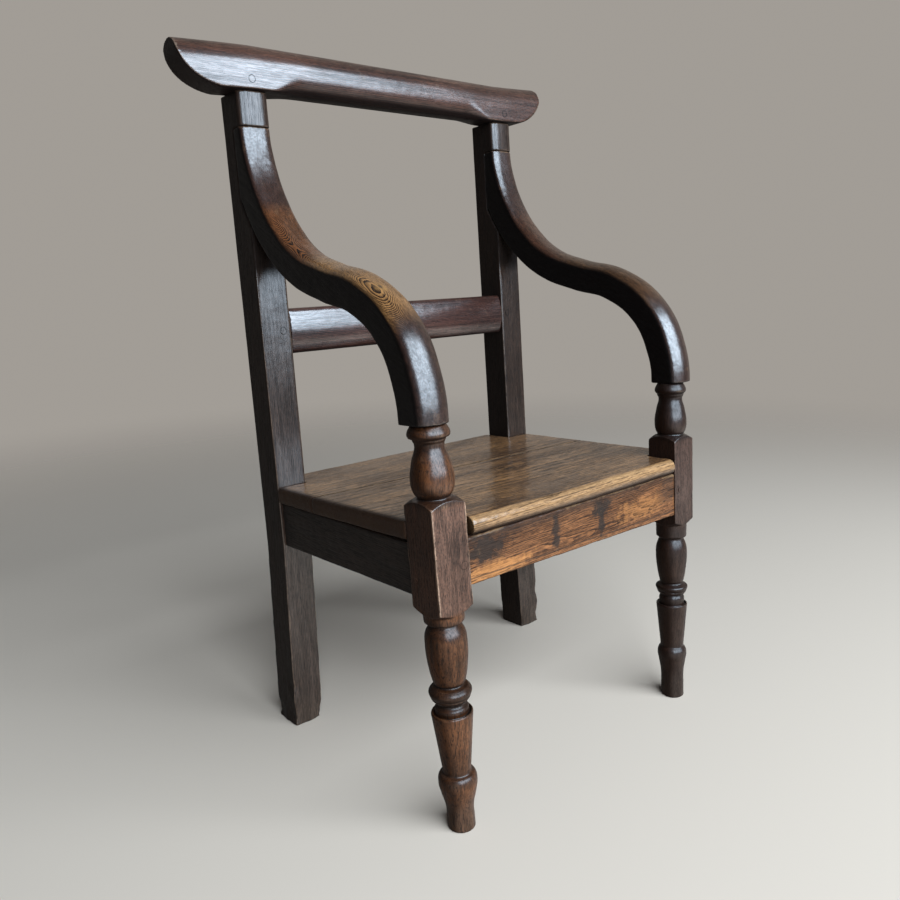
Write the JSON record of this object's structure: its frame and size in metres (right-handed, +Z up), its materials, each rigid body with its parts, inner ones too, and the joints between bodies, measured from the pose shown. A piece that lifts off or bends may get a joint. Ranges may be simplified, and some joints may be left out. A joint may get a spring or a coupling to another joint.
{
  "type": "open_armchair",
  "caption": "Open armchair in dark waxed oak with scroll arms, turned front posts, a rounded crest rail, a half-round back rail and a board seat.",
  "frame": {"origin": "on the floor under the middle of the whole chair's bounding box", "axes": "+Z up, -Y towards the front of the chair, +X towards the chair's right side as seen from the front"},
  "size_m": [0.72, 0.491, 1.0739],
  "materials": {
    "dark_oak": "old dark wax polish",
    "brown_oak": "old wax polish, worn",
    "seat_oak": "worn and burnished wax",
    "rail_oak": "worn wax polish",
    "peg_oak": "end grain, waxed",
    "iron": "dark, oxidised"
  },
  "bodies": {
    "root": {"rear_post_left": "dark_oak", "rear_post_right": "dark_oak", "crest_rail": "dark_oak", "mid_rail": "brown_oak", "arm_left": "brown_oak", "arm_right": "brown_oak", "front_post_left": "brown_oak", "front_post_right": "brown_oak", "front_seat_rail": "rail_oak", "side_seat_rail_left": "dark_oak", "side_seat_rail_right": "dark_oak", "back_seat_rail": "dark_oak", "seat_board_front": "seat_oak", "seat_board_rear": "seat_oak", "crest_peg_left": "peg_oak", "crest_peg_right": "peg_oak", "mid_rail_peg_left": "peg_oak", "mid_rail_peg_right": "peg_oak", "front_rail_peg_left": "peg_oak", "front_rail_peg_right": "peg_oak", "back_rail_peg_left": "peg_oak", "back_rail_peg_right": "peg_oak", "side_rail_peg_front_left": "peg_oak", "side_rail_peg_front_right": "peg_oak", "side_rail_peg_rear_left": "peg_oak", "side_rail_peg_rear_right": "peg_oak", "arm_peg_left": "peg_oak", "arm_peg_right": "peg_oak", "seat_nail_left_1": "iron", "seat_nail_left_2": "iron", "seat_nail_left_3": "iron", "seat_nail_right_1": "iron", "seat_nail_right_2": "iron", "seat_nail_right_3": "iron", "seat_nail_front_1": "iron", "seat_nail_front_2": "iron", "seat_nail_front_3": "iron", "seat_nail_back_1": "iron", "seat_nail_back_2": "iron", "seat_nail_back_3": "iron"}
  },
  "joints": []
}
